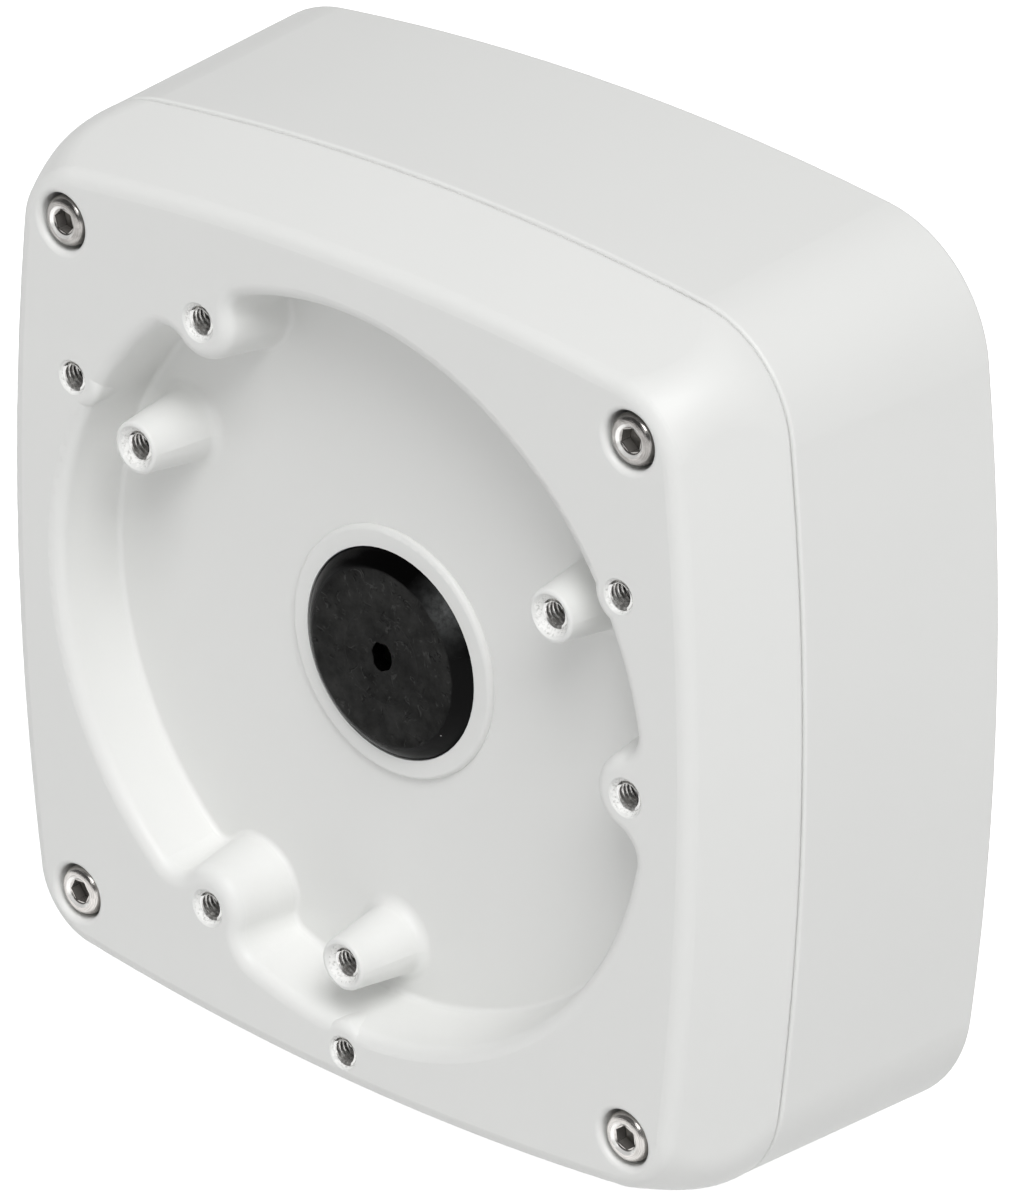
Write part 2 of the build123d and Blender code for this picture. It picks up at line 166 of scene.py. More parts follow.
def floor_material():
    """Pale matt paper that also glows, most of all for the camera, and not for light on the box."""
    material, tree, shader = new_material("pale_floor")
    shader.inputs["Base Color"].default_value = (floor_tone, floor_tone, floor_tone, 1)
    shader.inputs["Roughness"].default_value = floor_roughness
    path = add(tree, "ShaderNodeLightPath")
    mirrored = calc(tree, "MAXIMUM", path.outputs["Is Glossy Ray"], path.outputs["Is Transmission Ray"])
    direct = calc(tree, "MULTIPLY", path.outputs["Is Camera Ray"], floor_white)
    shader.inputs["Emission Color"].default_value = (1, 1, 1, 1)
    feed(tree, shader.inputs["Emission Strength"], calc(tree, "MULTIPLY_ADD", mirrored, floor_glow, direct))
    return material


deselect_all()
bpy.ops.mesh.primitive_plane_add(size=floor_size, location=(0, 0, cad_low.z))
floor = bpy.context.object
floor.name = "floor"
floor.data.materials.append(floor_material())
print("floor at", round(cad_low.z / MM, 2), "mm")

# %% [markdown]
# The light in the picture is one broad, soft source above the camera's right shoulder and an even
# glow from everywhere else. The lower left wall of the recess faces that source and is the palest
# part, and the wall across from it is the darkest. A sun lamp would draw hard shadows, so one large
# square lamp gives this, with two weak lamps that lift the front a little. All stand far off, so
# that the box is lit as evenly low down as at its top.

# %% Lamps
lamp_distance = 6.0
lamps = {
    "softbox": {"direction": (0.465, -0.385, 0.797), "size": 3.0, "power": 232.0},
    "sheen": {"direction": (0.42, -0.74, 0.51), "size": 1.4, "power": 12.0},
    "left_fill": {"direction": (-0.5, -0.6, 0.65), "size": 4.4, "power": 16.0},
}


def soft_light(name, direction, size, power):
    """A square softbox that faces the box. The fill doesn't show in polished metal."""
    data = bpy.data.lights.new(name, "AREA")
    data.shape = "SQUARE"
    data.size = size
    data.energy = power
    lamp = bpy.data.objects.new(name, data)
    way = Vector(direction).normalized()
    turn = (-way).to_track_quat("-Z", "Y").to_matrix().to_4x4()
    lamp.matrix_world = Matrix.Translation(way * lamp_distance) @ turn
    lamp.visible_glossy = name != "left_fill"
    bpy.context.scene.collection.objects.link(lamp)


for name, lamp in lamps.items():
    soft_light(name, lamp["direction"], lamp["size"], lamp["power"])
print("lamps:", list(lamps))

# %% [markdown]
# The world gives the even glow. The camera sees it as white, while polished metal sees a dark
# ceiling, without which it would look like white paint. The Standard view transform then shows each
# colour about as it is written.

# %% World
world_level = 0.407
ceiling_level = 0.12
ceiling_from, ceiling_to = -0.15, 0.1


def grey_world():
    """Grey for light that falls on things, white for the camera, and dark overhead in reflections."""
    world = bpy.data.worlds.new("studio")
    world.use_nodes = True
    tree = world.node_tree
    path = add(tree, "ShaderNodeLightPath")
    way = add(tree, "ShaderNodeTexCoord").outputs["Generated"]
    up = add(tree, "ShaderNodeSeparateXYZ", {"Vector": way}).outputs["Z"]
    ceiling = add(tree, "ShaderNodeMapRange", {"Value": up, "From Min": ceiling_from, "From Max": ceiling_to,
                                               "To Min": 1.0, "To Max": ceiling_level}).outputs["Result"]
    rise = calc(tree, "SUBTRACT", ceiling, world_level)
    level = calc(tree, "ADD", calc(tree, "MULTIPLY", path.outputs["Is Glossy Ray"], rise), world_level)
    open_view = calc(tree, "MAXIMUM", path.outputs["Is Camera Ray"], path.outputs["Is Transmission Ray"])
    background = tree.nodes["Background"]
    background.inputs["Color"].default_value = (1, 1, 1, 1)
    feed(tree, background.inputs["Strength"], calc(tree, "MAXIMUM", level, open_view))
    bpy.context.scene.world = world


grey_world()
bpy.context.scene.view_settings.view_transform = "Standard"
print("world", world_level, "with a ceiling of", ceiling_level)

# %% [markdown]
# Most effects below are a noise or a distance that is turned into a mask. These helpers keep that
# short: the place on the piece in millimetres, a noise with blotches of a given size, a fade from 0
# to 1 and a distance. Sizes in a material are then the real ones. An effect that several materials
# share is a node group with named sockets, and the last helper starts one.

# %% Helpers for patterns


def place_in_mm(tree):
    """The point on the surface, in millimetres, in the frame of the box."""
    here = add(tree, "ShaderNodeTexCoord").outputs["Object"]
    return add(tree, "ShaderNodeVectorMath", {0: here, "Scale": 1 / MM}, operation="SCALE").outputs[0]


def noise(tree, place, cell, detail=2.0, roughness=0.5):
    """Smooth random values whose blotches are about one cell across, in millimetres."""
    scale = calc(tree, "DIVIDE", 1.0, cell)
    inputs = {"Vector": place, "Scale": scale, "Detail": detail, "Roughness": roughness}
    return add(tree, "ShaderNodeTexNoise", inputs).outputs["Fac"]


def fade(tree, value, start, width):
    """How far a value is past its start, from 0 to 1 over the width. Swapped, the two fade out."""
    return calc(tree, "DIVIDE", calc(tree, "SUBTRACT", value, start), width, clamp=True)


def reach_of(tree, across, up):
    """The distance to a point that lies this far across and this far up."""
    return calc(tree, "SQRT", calc(tree, "MULTIPLY_ADD", across, across, calc(tree, "MULTIPLY", up, up)))


def new_group(name, inputs, outputs):
    """A shader node group with its named number sockets."""
    tree = bpy.data.node_groups.new(name, "ShaderNodeTree")
    for label, value in inputs.items():
        socket = tree.interface.new_socket(label, in_out="INPUT", socket_type="NodeSocketFloat")
        socket.default_value = value
    for label in outputs:
        tree.interface.new_socket(label, in_out="OUTPUT", socket_type="NodeSocketFloat")
    return tree, add(tree, "NodeGroupInput").outputs, add(tree, "NodeGroupOutput").inputs


print("helpers:", [helper.__name__ for helper in (place_in_mm, noise, fade, reach_of, new_group)])

# %% [markdown]
# Powder coat is sprayed on as dust and melts into a satin skin. Close up it has two textures: a
# slow peel like orange skin and a fine grain. Both are too shallow to model, so they are a height
# that tilts the light. A few specks of dust have been baked in. Both castings need the coat, so it
# is a node group that each material places.

# %% Powder coat, as a group with named sockets
powder_sizes = {"Peel Cell": 1.6, "Peel Height": 0.011, "Grain Cell": 0.28, "Grain Height": 0.003}
tone_cell = 38.0
speck_spacing = 7.0
speck_radius = 0.022
speck_rarity = 0.8


def powder_group():
    """Height of the peel and the grain, a slow change of tone, and rare specks of dust."""
    tree, given, out = new_group("powder_coat", powder_sizes, ["Height", "Tone", "Specks"])
    place = place_in_mm(tree)
    peel = calc(tree, "MULTIPLY", noise(tree, place, given["Peel Cell"]), given["Peel Height"])
    grain = calc(tree, "MULTIPLY", noise(tree, place, given["Grain Cell"]), given["Grain Height"])
    feed(tree, out["Height"], calc(tree, "ADD", peel, grain))
    feed(tree, out["Tone"], noise(tree, place, tone_cell, detail=3.0))
    cells = add(tree, "ShaderNodeTexVoronoi", {"Vector": place, "Scale": 1 / speck_spacing})
    chosen = calc(tree, "GREATER_THAN", cells.outputs["Color"], speck_rarity)
    near = calc(tree, "LESS_THAN", cells.outputs["Distance"], speck_radius)
    feed(tree, out["Specks"], calc(tree, "MULTIPLY", chosen, near))
    return tree


powder = powder_group()
print("group", powder.name, "with", [item.name for item in powder.interface.items_tree])

# %% [markdown]
# Nine holes take the screws of camera bases, and each tap leaves a ring of bare metal where its
# countersink cuts through the coat. All nine lie on three circles, three to a circle, so one group
# finds the distance to the nearest hole of a circle by folding the angle into a third of a turn.
# Noise makes the ring's edge ragged, and a second noise gives the chips and grey flecks in it. The
# coat creeps over the outer part of the countersink, so the bare ring is narrower than the cone.

# %% Bare rings round the tapped holes
holes_per_circle = 3
half_fold = math.pi / holes_per_circle
tapped_radius = 2.05
hole_patterns = {
    "lug": {"circle": 49.0, "first_angle": 0.0, "cone": 0.7},
    "outer": {"circle": 55.0, "first_angle": math.radians(30), "cone": 0.4},
    "standoff": {"circle": 41.9, "first_angle": math.radians(30), "cone": 1.0},
}
bare_share = 0.6
bare_level = -49.9
bare_edge_softness = 0.12
ragged_cell, ragged_middle, ragged_share = 0.45, 0.42, 2.2
fleck_cell, fleck_start, fleck_fade = 0.42, 0.5, 0.25


def bare_ring_group():
    """Mask of the ragged ring round each hole of one circle, and the flecks in it."""
    lug = hole_patterns["lug"]
    inputs = {"Circle": lug["circle"], "First Angle": lug["first_angle"], "Hole": tapped_radius,
              "Width": lug["cone"], "Level": bare_level}
    tree, given, out = new_group("bare_ring", inputs, ["Mask", "Flecks"])
    place = place_in_mm(tree)
    x, y, z = add(tree, "ShaderNodeSeparateXYZ", {"Vector": place}).outputs
    turned = calc(tree, "SUBTRACT", calc(tree, "ARCTAN2", z, x), given["First Angle"])
    folded = calc(tree, "WRAP", turned, half_fold, -half_fold)
    reach = reach_of(tree, x, z)
    outwards = calc(tree, "MULTIPLY", reach, calc(tree, "COSINE", folded))
    along = calc(tree, "SUBTRACT", outwards, given["Circle"])
    aside = calc(tree, "MULTIPLY", reach, calc(tree, "SINE", folded))
    wander = calc(tree, "SUBTRACT", noise(tree, place, ragged_cell, detail=3.0), ragged_middle)
    ragged = calc(tree, "MULTIPLY", wander, calc(tree, "MULTIPLY", given["Width"], ragged_share))
    edge = calc(tree, "ADD", calc(tree, "ADD", given["Hole"], given["Width"]), ragged)
    inside = fade(tree, edge, reach_of(tree, along, aside), bare_edge_softness)
    mask = calc(tree, "MULTIPLY", inside, calc(tree, "LESS_THAN", y, given["Level"]))
    feed(tree, out["Mask"], mask)
    chips = fade(tree, noise(tree, place, fleck_cell, detail=3.0, roughness=0.6), fleck_start, fleck_fade)
    feed(tree, out["Flecks"], calc(tree, "MULTIPLY", mask, chips))
    return tree


bare_ring = bare_ring_group()
print("group", bare_ring.name, "with", [item.name for item in bare_ring.interface.items_tree])

# %% [markdown]
# The castings get the coat. It is matt enough to hide the lamp's shape and smooth enough for a
# faint sheen on the rounded corners. The material hands back its nodes, because the front cover
# adds to them in the next cell.

# %% Coated castings
casting_colour = (0.800, 0.804, 0.790)
tone_change = 0.015
speck_colour = (0.25, 0.24, 0.23, 1)
coat_roughness = 0.42
coat_specular = 0.36


def blend(tree, factor, low, high):
    """A colour between two others."""
    mix = add(tree, "ShaderNodeMix", data_type="RGBA", blend_type="MIX")
    for label, value in (("Factor", factor), ("A", low), ("B", high)):
        socket = [item for item in mix.inputs if item.name == label and item.enabled][0]
        feed(tree, socket, value)
    return [item for item in mix.outputs if item.enabled][0]


def two_tones(colour, change):
    """The colour a little darker, and a little paler."""
    return [[value * level for value in colour] + [1] for level in (1 - change, 1 + change)]


def powder_material(name):
    """Satin powder coat over a casting."""
    material, tree, shader = new_material(name)
    coat = add(tree, "ShaderNodeGroup", node_tree=powder)
    paint = blend(tree, coat.outputs["Tone"], *two_tones(casting_colour, tone_change))
    paint = blend(tree, coat.outputs["Specks"], paint, speck_colour)
    feed(tree, shader.inputs["Base Color"], paint)
    shader.inputs["Roughness"].default_value = coat_roughness
    shader.inputs["Specular IOR Level"].default_value = coat_specular
    bump = add(tree, "ShaderNodeBump", {"Height": coat.outputs["Height"], "Distance": MM, "Strength": 1.0})
    feed(tree, shader.inputs["Normal"], bump.outputs["Normal"])
    return material, tree, shader, paint, coat, bump


def dress(node, material):
    """Gives a CAD node its finish."""
    nodes[node].data.materials.clear()
    nodes[node].data.materials.append(material)


dress("rear_housing", powder_material("casting_coat")[0])
print("housing coated")

# %% [markdown]
# The front cover has the same coat, cut through round the tapped holes. The group is placed once
# for each circle of holes, and the three masks are joined by taking the larger value.

# %% Front cover
bare_colour = (0.9, 0.9, 0.885, 1)
fleck_colour = (0.46, 0.46, 0.44, 1)
fleck_depth = 0.03


def bare_rings(tree):
    """The masks of the three circles of holes, joined."""
    mask, flecks = 0.0, 0.0
    for pattern in hole_patterns.values():
        inputs = {"Circle": pattern["circle"], "First Angle": pattern["first_angle"],
                  "Width": pattern["cone"] * bare_share}
        ring = add(tree, "ShaderNodeGroup", node_tree=bare_ring)
        for label, value in inputs.items():
            ring.inputs[label].default_value = value
        mask = calc(tree, "MAXIMUM", mask, ring.outputs["Mask"])
        flecks = calc(tree, "MAXIMUM", flecks, ring.outputs["Flecks"])
    return mask, flecks


def cover_material(name):
    """The same coat, cut through round the tapped holes."""
    material, tree, shader, paint, coat, bump = powder_material(name)
    mask, flecks = bare_rings(tree)
    paint = blend(tree, mask, paint, bare_colour)
    feed(tree, shader.inputs["Base Color"], blend(tree, flecks, paint, fleck_colour))
    height = calc(tree, "SUBTRACT", coat.outputs["Height"], calc(tree, "MULTIPLY", flecks, fleck_depth))
    feed(tree, bump.inputs["Height"], height)
    return material


dress("front_cover", cover_material("cover_coat"))
print("cover coated")

# %% [markdown]
# The next pieces are all turned or wound round an axis. By hand each would start as a single vertex,
# which is extruded along the outline and then spun. These helpers do that with the same operators.

# %% Helpers for modelling
seam = 0.002 * MM


def open_line(name, points):
    """A line through points of (radius, height) in millimetres, pulled out of a single vertex."""
    deselect_all()
    bpy.ops.mesh.primitive_plane_add(size=MM)
    piece = bpy.context.object
    piece.name = name
    bpy.ops.object.mode_set(mode="EDIT")
    bpy.ops.mesh.select_all(action="SELECT")
    bpy.ops.mesh.merge(type="CENTER")
    here = Vector((0, 0, 0))
    for number, (radius, height) in enumerate(points):
        there = Vector((radius, -height, 0)) * MM
        if number == 0:
            bpy.ops.transform.translate(value=there - here)
        else:
            bpy.ops.mesh.extrude_vertices_move(TRANSFORM_OT_translate={"value": there - here})
        here = there
    bpy.ops.mesh.select_all(action="SELECT")
    return piece


def take_up(piece):
    """Makes a piece the only one selected, and the active one."""
    deselect_all()
    piece.select_set(True)
    bpy.context.view_layer.objects.active = piece


def apply_modifier(piece, kind, **settings):
    """Adds a modifier, sets it and makes its result the mesh."""
    take_up(piece)
    modifier = piece.modifiers.new(kind.lower(), kind)
    for name, value in settings.items():
        setattr(modifier, name, value)
    bpy.ops.object.modifier_apply(modifier=modifier.name)


def edit_all(piece):
    """Opens a piece for editing with everything selected."""
    take_up(piece)
    bpy.ops.object.mode_set(mode="EDIT")
    bpy.ops.mesh.select_all(action="SELECT")


def close_seams():
    """Joins vertices that meet and turns all faces outwards."""
    bpy.ops.mesh.select_all(action="SELECT")
    bpy.ops.mesh.remove_doubles(threshold=seam)
    bpy.ops.mesh.normals_make_consistent(inside=False)
    bpy.ops.object.mode_set(mode="OBJECT")


print("vertices nearer than", seam / MM, "mm are joined")

# %% [markdown]
# A piece that is needed more than once is modelled once, at the origin. It is then copied with its
# own mesh and moved in edit mode, so that its origin stays in the middle of the box and a pattern on
# Object coordinates stays in place. Last it is shaded, coloured and declared to ride on the box.

# %% Helpers for placing


def copy_piece(source, name):
    """A copy with its own mesh."""
    take_up(source)
    bpy.ops.object.duplicate()
    copied = bpy.context.object
    copied.name = name
    return copied


def shift_piece(piece, x, y, z):
    """Moves a piece's mesh, in millimetres, and leaves its origin where it is."""
    edit_all(piece)
    bpy.ops.transform.translate(value=(x * MM, y * MM, z * MM))
    bpy.ops.object.mode_set(mode="OBJECT")


def finish_piece(piece, material, slot, smooth_angle=35):
    """Shades, colours and declares a piece that rides on the box."""
    take_up(piece)
    bpy.ops.object.shade_smooth_by_angle(angle=math.radians(smooth_angle))
    piece.data.materials.clear()
    piece.data.materials.append(material)
    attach(piece, "root")


print("helpers:", [helper.__name__ for helper in (copy_piece, shift_piece, finish_piece)])

# %% [markdown]
# A tapped hole looks dark because light is lost between the thread's crests. Painted rings would
# look flat from so near, so the thread is real: one tooth of its profile, wound up by a Screw
# modifier, cut flat at both ends and given a little thickness. One is modelled here, and the next
# cell places nine copies, since all are M4.

# %% One cut thread
pitch = 0.7
thread_minor = 1.68
thread_major = 2.02
thread_turns = 12
thread_steps = 40
thread_skin = 0.04
root_flat, flank, crest_flat = pitch / 4, pitch * 5 / 16, pitch / 8


def cut_flat(height, keep_below):
    """Cuts the open piece at a height over the origin and drops one side."""
    bpy.ops.mesh.select_all(action="SELECT")
    bpy.ops.mesh.bisect(plane_co=(0, -height * MM, 0), plane_no=(0, -1, 0),
                        clear_outer=keep_below, clear_inner=not keep_below)


def thread_piece(name):
    """A thread that hangs below the origin, cut flat at both ends, as a thin skin."""
    bottom = -pitch * thread_turns
    tooth = open_line(name, [(thread_minor, bottom), (thread_minor, bottom + root_flat),
                             (thread_major, bottom + root_flat + flank),
                             (thread_major, bottom + root_flat + flank + crest_flat),
                             (thread_minor, bottom + pitch)])
    bpy.ops.object.mode_set(mode="OBJECT")
    apply_modifier(tooth, "SCREW", axis="Y", angle=math.tau, screw_offset=-pitch * MM,
                   iterations=thread_turns + 1, steps=thread_steps, render_steps=thread_steps)
    edit_all(tooth)
    bpy.ops.mesh.remove_doubles(threshold=seam)
    cut_flat(0.0, True)
    cut_flat(bottom + pitch, False)
    close_seams()
    apply_modifier(tooth, "SOLIDIFY", thickness=thread_skin * MM, offset=0.0)
    return tooth


first_thread = thread_piece("tapped_thread")
print("thread of", len(first_thread.data.polygons), "faces,", thread_turns, "turns")

# %% [markdown]
# The metal in the holes is dark grey with pale spots in a random pattern. The very first edge is as
# pale as the bare ring round it. Each pattern of holes starts at its own depth, below its
# countersink, so each gets its own material.

# %% Nine threads in place
hole_face = cad_low.y / MM
dark_thread_metal = (0.44, 0.43, 0.415, 1)
pale_spot_metal = (0.90, 0.89, 0.87, 1)
pale_spot_cell, pale_spot_start, pale_spot_fade = 0.55, 0.44, 0.2
first_edge_depth, first_edge_fade = 0.12, 0.06
thread_metallic, edge_metallic = 0.8, 0.3
thread_roughness = 0.28


def cut_metal_material(name, start):
    """Dark grey cut metal with random pale spots and a bright first edge."""
    material, tree, shader = new_material(name)
    place = place_in_mm(tree)
    pale_spots = fade(tree, noise(tree, place, pale_spot_cell, detail=3.0), pale_spot_start, pale_spot_fade)
    metal = blend(tree, pale_spots, dark_thread_metal, pale_spot_metal)
    y = add(tree, "ShaderNodeSeparateXYZ", {"Vector": place}).outputs["Y"]
    first_edge = fade(tree, first_edge_depth, calc(tree, "SUBTRACT", y, start), first_edge_fade)
    feed(tree, shader.inputs["Base Color"], blend(tree, first_edge, metal, bare_colour))
    metallic = calc(tree, "MULTIPLY_ADD", first_edge, edge_metallic - thread_metallic, thread_metallic)
    feed(tree, shader.inputs["Metallic"], metallic)
    shader.inputs["Roughness"].default_value = thread_roughness
    return material


for label, pattern in hole_patterns.items():
    start = hole_face + pattern["cone"]
    cut_metal = cut_metal_material(f"{label}_thread_metal", start)
    for number in range(holes_per_circle):
        angle = pattern["first_angle"] + number * math.tau / holes_per_circle
        thread = copy_piece(first_thread, f"{label}_thread_{number + 1}")
        shift_piece(thread, pattern["circle"] * math.cos(angle), start, pattern["circle"] * math.sin(angle))
        finish_piece(thread, cut_metal, "cover_screw")
bpy.data.objects.remove(first_thread)
print("threads placed:", holes_per_circle * len(hole_patterns))

# %% [markdown]
# The black rubber plug is what the eye goes to first, so it gets a real surface. It could be put
# together from cylinders and cones, but one turned skin has no seams: it runs from the hole over the
# face and the cone to the tail, and back up inside. Its face is slightly dished, with a faint
# moulded ring half way out.

# %% Rubber plug, turned
plug_radius = nodes["cable_grommet"].dimensions.x / 2 / MM
plug_steps = 128
plug_shoulder = 2.2
face_edge = plug_radius - plug_shoulder
face_rise = 3.15
face_dish = 0.12
face_level = face_rise - face_dish
lip_thickness = 1.9
neck_radius = 13.2
tail_length = 2.3
tail_taper = 1.2
hollow_radius = 10.0
hollow_floor = face_rise - 2.2
ring_radius = 6.4
ring_height = 0.12
ring_half_width = 0.3
torn_radius = 1.72
torn_flat = 0.5
rim_outwards_and_drop = ((-0.7, 0.03), (-0.3, 0), (0.12, 0.1))
cone_inwards_and_level = ((1.2, 2.5), (0.15, 1.5), (0, 1.3))


def spin_round(piece, steps):
    """Turns the open line once round the Y axis and closes it."""
    bpy.ops.mesh.select_all(action="SELECT")
    bpy.ops.mesh.spin(steps=steps, angle=math.tau, center=(0, 0, 0), axis=(0, 1, 0))
    close_seams()
    return piece


def plug_piece(name):
    """The plug as one turned skin, from the torn hole over the face and the cone to the tail and back."""
    bottom = -lip_thickness - tail_length
    points = [(torn_radius, face_level), (torn_radius + torn_flat, face_level),
              (ring_radius - ring_half_width, face_level), (ring_radius, face_level + ring_height),
              (ring_radius + ring_half_width, face_level)]
    points += [(face_edge + outwards, face_rise - drop) for outwards, drop in rim_outwards_and_drop]
    points += [(plug_radius - inwards, level) for inwards, level in cone_inwards_and_level]
    points += [(plug_radius, 0), (neck_radius, 0), (neck_radius, -lip_thickness),
               (plug_radius, -lip_thickness), (plug_radius, bottom + tail_taper), (neck_radius, bottom),
               (hollow_radius, bottom), (hollow_radius, hollow_floor), (torn_radius, hollow_floor)]
    open_line(name, points)
    bpy.ops.mesh.edge_face_add()
    bpy.ops.mesh.delete(type="ONLY_FACE")
    return spin_round(bpy.context.object, plug_steps)


front_plug = plug_piece("front_cable_plug")
print("plug of", len(front_plug.data.polygons), "faces, radius", round(plug_radius, 2))

# %% [markdown]
# The hole in the middle of the plug has been torn open with a tool. Vertices moved one by one would
# leave spikes, so its rim is pulled about by proportional editing, a bite at a time, and the rubber
# round each bite follows smoothly.

# %% Torn hole
torn_bites = 13
tear_seed = 11
bite_wander = 0.3
pull_range = (-0.1, 0.16)
pull_upright = 0.3
pick_radius = 0.12
drag_radius = 0.8


def select_near(piece, centre, radius):
    """Selects the vertices whose place across the front is within a radius of a centre."""
    edit_all(piece)
    bpy.ops.mesh.select_mode(type="VERT")
    bpy.ops.mesh.select_all(action="DESELECT")
    bpy.ops.object.mode_set(mode="OBJECT")
    for vertex in piece.data.vertices:
        across = math.hypot(vertex.co.x - centre[0] * MM, vertex.co.z - centre[1] * MM)
        vertex.select = across < radius * MM
    bpy.ops.object.mode_set(mode="EDIT")


def tear_hole(piece):
    """Pulls the rim of the hole about, most of all upwards and downwards, as a blade leaves it."""
    chance = random.Random(tear_seed)
    for bite in range(torn_bites):
        angle = (bite + chance.uniform(-bite_wander, bite_wander)) * math.tau / torn_bites
        pull = chance.uniform(*pull_range) + pull_upright * math.sin(angle) ** 2
        select_near(piece, (torn_radius * math.cos(angle), torn_radius * math.sin(angle)), pick_radius)
        way = (pull * MM * math.cos(angle), 0, pull * MM * math.sin(angle))
        bpy.ops.transform.translate(value=way, use_proportional_edit=True,
                                    proportional_size=drag_radius * MM, proportional_edit_falloff="SMOOTH")
        bpy.ops.object.mode_set(mode="OBJECT")


tear_hole(front_plug)
print("hole torn in", torn_bites, "bites")

# %% [markdown]
# Handled rubber is covered in short curved scuffs. They are found where a noise crosses a level: a
# thin band there is a line that wanders like a level line on a map, and a second noise breaks it
# into short pieces. Two levels give pale and dark scuffs that never cross.

# %% Scuffs, as a group with named sockets
scuff_sizes = {"Curl Cell": 2.6, "Line Width": 0.026, "Grain Cell": 0.35}
scuff_levels = (0.5, 0.57)
break_cell, break_start, break_fade = 1.1, 0.5, 1 / 7
dust_cell = 4.5
rubber_grain_height = 0.02
scuff_depth = 0.03


def scuff_group():
    """Short pale and dark scuffs along the level lines of a noise, blotches of dust, and a height."""
    tree, given, out = new_group("scuffs", scuff_sizes, ["Pale Lines", "Dark Lines", "Dust", "Height"])
    place = place_in_mm(tree)
    scale = calc(tree, "DIVIDE", 1.0, given["Curl Cell"])
    inputs = {"Vector": place, "Scale": scale, "Detail": 3.0, "Distortion": 0.9}
    curls = add(tree, "ShaderNodeTexNoise", inputs).outputs["Fac"]
    breaks = fade(tree, noise(tree, place, break_cell, detail=2.0), break_start, break_fade)
    found = []
    for level in scuff_levels:
        off = calc(tree, "ABSOLUTE", calc(tree, "SUBTRACT", curls, level))
        line = fade(tree, given["Line Width"], off, given["Line Width"])
        found.append(calc(tree, "MULTIPLY", line, breaks))
    pale, dark = found
    grain = noise(tree, place, given["Grain Cell"], detail=4.0)
    feed(tree, out["Pale Lines"], pale)
    feed(tree, out["Dark Lines"], dark)
    feed(tree, out["Dust"], noise(tree, place, dust_cell, detail=6.0, roughness=0.68))
    cut = calc(tree, "MULTIPLY", dark, -scuff_depth)
    feed(tree, out["Height"], calc(tree, "MULTIPLY_ADD", grain, rubber_grain_height, cut))
    return tree


scuffs = scuff_group()
print("group", scuffs.name, "with", [item.name for item in scuffs.interface.items_tree])

# %% [markdown]
# The plug's flat face is dusty and scuffed, and the cone round it is blacker and smoother. On the
# real plug they are one piece of rubber, so one material holds both, with a mask of the flat face
# between them. The mask and the face's colour come first.

# %% Rubber of the flat face
black = (0.001, 0.001, 0.001, 1)
clean_face = (0.003, 0.003, 0.003, 1)
dusty_face = (0.033, 0.033, 0.032, 1)
pale_scuff = (0.085, 0.085, 0.083, 1)
pale_scuff_strength = 0.4
dust_gain, dust_loss = 2.2, -0.6
face_wander_cell, face_wander = 2.0, 0.5
face_edge_softness = 0.3
face_skin, face_skin_softness = 0.3, 0.1


def face_mask(tree, place, reach, y, front):
    """1 on the plug's flat face, with a slightly wandering edge, and 0 on the cone and behind it."""
    wander = calc(tree, "SUBTRACT", noise(tree, place, face_wander_cell, detail=3.0), 0.5)
    wander = calc(tree, "MULTIPLY", wander, face_wander)
    edge = fade(tree, calc(tree, "ADD", wander, face_edge), reach, face_edge_softness)
    return calc(tree, "MULTIPLY", edge, fade(tree, front + face_skin, y, face_skin_softness))


def dusty_face_colour(tree, marks):
    """Black rubber under blotches of dust, with its scuffs."""
    dust = calc(tree, "MULTIPLY_ADD", marks.outputs["Dust"], dust_gain, dust_loss, clamp=True)
    colour = blend(tree, dust, clean_face, dusty_face)
    pale = calc(tree, "MULTIPLY", marks.outputs["Pale Lines"], pale_scuff_strength)
    return blend(tree, marks.outputs["Dark Lines"], blend(tree, pale, colour, pale_scuff), black)


print("flat face out to", round(face_edge, 2), "mm from the plug's middle")

# %% [markdown]
# The cone is clean black but for one pale patch at its upper right, which is a painted highlight,
# and a few pale grains lie on the plug's lower edge. Both are masks that are put together from a
# distance and a noise or a scatter of cells, so that they stay where they belong.

# %% Rubber of the cone
# The pale patch at the cone's upper right is a painted highlight.
highlight_middle = (10.3, 9.7)
highlight_reach = 6.5
highlight_falloff = 1.6
highlight_patch_cell = 1.3
highlight_gain, highlight_loss = 2.4, -0.4
painted_highlight_colour = (0.075, 0.077, 0.077, 1)
grain_spacing, grain_rarity, grain_radius = 1.1, 0.6, 0.11
grain_from_edge, grain_below = 0.9, -3.0


def cone_with_painted_highlight(tree, place, x, z):
    """Clean black rubber with one painted highlight, broken into patches."""
    aside, over = (calc(tree, "SUBTRACT", value, middle) for value, middle in zip((x, z), highlight_middle))
    highlight = fade(tree, highlight_reach, reach_of(tree, aside, over), highlight_reach)
    patches = noise(tree, place, highlight_patch_cell, detail=5.0, roughness=0.7)
    patches = calc(tree, "MULTIPLY_ADD", patches, highlight_gain, highlight_loss, clamp=True)
    highlight = calc(tree, "MULTIPLY", calc(tree, "POWER", highlight, highlight_falloff), patches)
    return blend(tree, highlight, black, painted_highlight_colour)


def grain_mask(tree, place, reach, z):
    """Pale grains on the lower edge of the plug."""
    cells = add(tree, "ShaderNodeTexVoronoi", {"Vector": place, "Scale": 1 / grain_spacing})
    chosen = calc(tree, "GREATER_THAN", cells.outputs["Color"], grain_rarity)
    grain = calc(tree, "MULTIPLY", chosen, calc(tree, "LESS_THAN", cells.outputs["Distance"], grain_radius))
    near_edge = calc(tree, "GREATER_THAN", reach, face_edge - grain_from_edge)
    low_down = calc(tree, "LESS_THAN", z, grain_below)
    return calc(tree, "MULTIPLY", grain, calc(tree, "MULTIPLY", near_edge, low_down))


print("smear over", highlight_reach, "mm round", highlight_middle)

# %% [markdown]
# Now the material can be read as what lies on what: the cone, over it the flat face, and over both
# the grains. The same plug sits in the back wall, so the second one is a copy.

